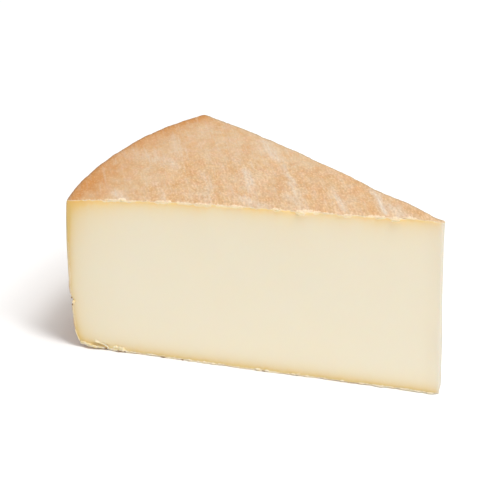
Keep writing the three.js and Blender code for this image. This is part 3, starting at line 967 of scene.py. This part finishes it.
def front_place(x, z):
    """A point on the front cut at a place along x and a height."""
    u, height, top = np.array([-x / CUT_LENGTH]), np.array([z]), np.array([TIP_HEIGHT])
    _, y = plan(clamp(u), 0, height, top)
    return np.array([x, float(y[0] - cut_relief(True, -x, np.array([x]), y, height, top)[0]), z])


def edge_place(level, cut, along, height):
    """A point on a torn edge at a distance from the tip: so far below the top, or above the underside."""
    u = np.array([along / CUT_LENGTH])
    v = np.array([0.0 if cut == "front" else 1.0])
    top = rind_height(u, v)
    z = top - height if level == "top" else sole_height(u) + height
    x, y = plan(u, v, z, top)
    relief = cut_relief(cut == "front", u * CUT_LENGTH, x, y, z, top)
    facing = np.array([0, -1, 0]) if cut == "front" else np.array([sin(CUT_ANGLE), cos(CUT_ANGLE), 0])
    return np.array([x[0], y[0], z[0]]) + relief[0] * facing


def make_flakes(crumb):
    """Flakes, crumbs and shreds of torn rind on the edges of both cuts."""
    rng = np.random.default_rng(PILE_SEED)
    pile = Pile()
    draw = DRAWS["flakes"]
    for level, flakes in (("top", TOP_FLAKES), ("foot", FOOT_FLAKES)):
        for x, long, height, thick in flakes:
            # The tip leans, so the distance from it is corrected by how far the first try lands beside x
            tried = edge_place(level, "front", -x, height)[0]
            at = edge_place(level, "front", tried - 2 * x, height)
            turn = [rng.uniform(-most, most) for most in FLAKE_TURNS]
            curl = rng.uniform(0, FLAKE_CURL) * thick
            half_sizes = (long, thick * FLAKE_WIDTH, thick)
            pile.flake(at, half_sizes, turn, curl, draw, FLAKE_GOLDEN[level])
            draw += 1
    for path, half_height, half_thick, golden in STRIPS:
        pile.strip([front_place(x, z) for x, z in path], half_height, half_thick, golden, draw)
        draw += 2
    x, z, long, thick, out, golden = NICK_CRUMB
    at = front_place(x, z) - np.array([0, out, 0])
    pile.flake(at, (thick, thick, long), (0.3, 0.2, 0), 0, draw, golden)
    for (cut, level), count in SHREDS.items():
        heading = 0 if cut == "front" else -CUT_ANGLE
        for _ in range(count):
            height = rng.uniform(*SHRED_HEIGHT["foot"])
            if level == "top":
                height = rng.uniform(*SHRED_HEIGHT[cut])
            at = edge_place(level, cut, rng.uniform(*SHRED_STRETCH), height)
            long = rng.uniform(*SHRED_LONG)
            thick = rng.uniform(*SHRED_THICK[level])
            turn = [rng.uniform(-most, most) for most in SHRED_TURNS]
            turn[2] += heading
            half_sizes = (long, thick, thick * rng.uniform(*SHRED_TALL))
            pile.flake(at, half_sizes, turn, 0, draw, SHRED_GOLDEN[level])
            draw += 1
    flakes = piece("torn_flakes", np.concatenate(pile.points), np.concatenate(pile.faces), [crumb])
    write_attribute(flakes.data, "golden", np.concatenate(pile.golden))


def make_gap_shade_shreds(shred):
    """Dark shreds that paint the shade in the nick and in small gaps along the foot of the front cut."""
    pile = Pile()
    for draw, (x, z, long, thick) in enumerate(GAP_SHADE_SHREDS, DRAWS["gap_shade_shreds"]):
        half_sizes = (long, thick, thick) if z < GAP_SHADE_SHREDS_STAND else (thick, thick, long)
        at = front_place(x, z) + np.array([0, GAP_SHADE_SHREDS_SUNK, 0])
        pile.flake(at, half_sizes, (0.2, 0.05, 0), 0, draw)
    piece("gap_shade_shreds", np.concatenate(pile.points), np.concatenate(pile.faces), [shred])


def make_floor():
    """A wide white table under and behind the wedge."""
    mesh = bpy.data.meshes.new("table")
    corners = [(x * TABLE_HALF, y * TABLE_HALF, 0) for x, y in ((-1, -1), (1, -1), (1, 1), (-1, 1))]
    mesh.from_pydata(corners, [], [(0, 1, 2, 3)])
    mesh.materials.append(plain_finish("white_table", WHITE, 0.9))
    table = bpy.data.objects.new("table", mesh)
    bpy.context.scene.collection.objects.link(table)


def make_light():
    """A white studio: an even sky, and round lamps that face the wedge."""
    world = bpy.data.worlds.new("studio")
    world.use_nodes = True
    world.node_tree.nodes["Background"].inputs["Color"].default_value = (1, 1, 1, 1)
    world.node_tree.nodes["Background"].inputs["Strength"].default_value = SKY
    bpy.context.scene.world = world
    for name, (azimuth, elevation, share, size) in LAMPS.items():
        side, up = radians(azimuth), radians(elevation)
        towards = Vector((cos(up) * cos(side), cos(up) * sin(side), sin(up)))
        data = bpy.data.lights.new(name, "AREA")
        data.shape = "DISK"
        data.size = size
        # The power that gives the table this share of white, at the lamp's distance and slant
        data.energy = share * (pi * LAMP_DISTANCE) ** 2 / sin(up)
        lamp = bpy.data.objects.new(name, data)
        lamp.location = towards * LAMP_DISTANCE
        lamp.rotation_euler = towards.to_track_quat("Z", "Y").to_euler()
        bpy.context.scene.collection.objects.link(lamp)


def make_camera():
    """The camera at the photograph's viewing angle."""
    data = bpy.data.cameras.new("camera")
    data.lens = LENS
    data.sensor_width = SENSOR
    camera = bpy.data.objects.new("camera", data)
    camera.location = place(EYE)
    camera.rotation_euler = (pi / 2 - LOOK_DOWN, 0, -LOOK_ASIDE)
    bpy.context.scene.collection.objects.link(camera)
    bpy.context.scene.camera = camera


bpy.context.scene.view_settings.view_transform = "Standard"
make_camera()
make_light()
make_floor()
make_wedge(paste_finish(), rind_finish())
make_flakes(crumb_finish())
make_gap_shade_shreds(gap_shade_finish())
